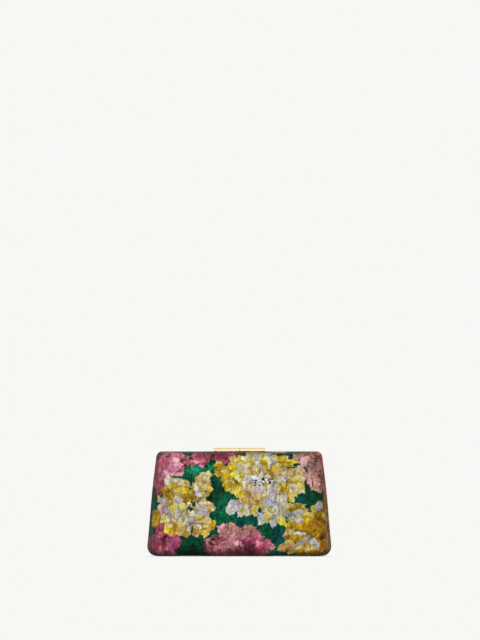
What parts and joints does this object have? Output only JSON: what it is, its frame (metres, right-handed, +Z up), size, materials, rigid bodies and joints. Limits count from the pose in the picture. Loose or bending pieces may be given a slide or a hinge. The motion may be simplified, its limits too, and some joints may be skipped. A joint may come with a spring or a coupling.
{
  "type": "coin purse",
  "caption": "Hard-shell evening purse: two padded, brocade-covered trays in slim brass rims, hinged at the bottom and held shut by two rocking bar catches.",
  "frame": {"origin": "on the ground, at the middle of the purse's footprint", "axes": "+X along the purse to the right as seen from the front, +Y from the front face to the rear face, +Z up"},
  "size_m": [0.1898, 0.05, 0.1114],
  "materials": {
    "brocade": "silky floral jacquard on emerald green, crackled relief",
    "foam": "open-cell foam sheet",
    "tray": "moulded, fine grain",
    "satin": "satin lining",
    "gold": "polished light gold plate",
    "steel": "plain bright steel"
  },
  "bodies": {
    "rear_half": {"rear_cover": "brocade", "rear_padding": "foam", "rear_shell": "tray", "rear_lining": "satin", "slip_pocket": "satin", "rear_rim": "gold", "rear_hinge_leaves": "gold", "rear_hinge_rivets": "gold", "hinge_pins": "steel", "rear_catch_spring": "steel", "rear_spring_rivet": "steel"},
    "front_half": {"front_cover": "brocade", "front_padding": "foam", "front_shell": "tray", "front_lining": "satin", "front_rim": "gold", "front_hinge_leaves": "gold", "front_hinge_rivets": "gold", "front_catch_spring": "steel", "front_spring_rivet": "steel"},
    "front_catch": {"front_clasp_bar": "gold", "front_catch_pin": "steel"},
    "rear_catch": {"rear_clasp_bar": "gold", "rear_catch_pin": "steel"}
  },
  "joints": [
    {"name": "main_hinge", "type": "hinge", "parent": "rear_half", "child": "front_half", "pos_m": [0, 0, 0.0015], "axis": [1, 0, 0], "range_deg": [0, 90]},
    {"name": "front_catch_rock", "type": "hinge", "parent": "front_half", "child": "front_catch", "pos_m": [0, -0.0024, 0.10928], "axis": [1, 0, 0], "range_deg": [0, 6], "stiffness_Nm_per_rad": 0.002, "springref_deg": -22.92},
    {"name": "rear_catch_rock", "type": "hinge", "parent": "rear_half", "child": "rear_catch", "pos_m": [0, 0.0024, 0.10928], "axis": [-1, 0, 0], "range_deg": [0, 6], "stiffness_Nm_per_rad": 0.002, "springref_deg": -22.92}
  ]
}
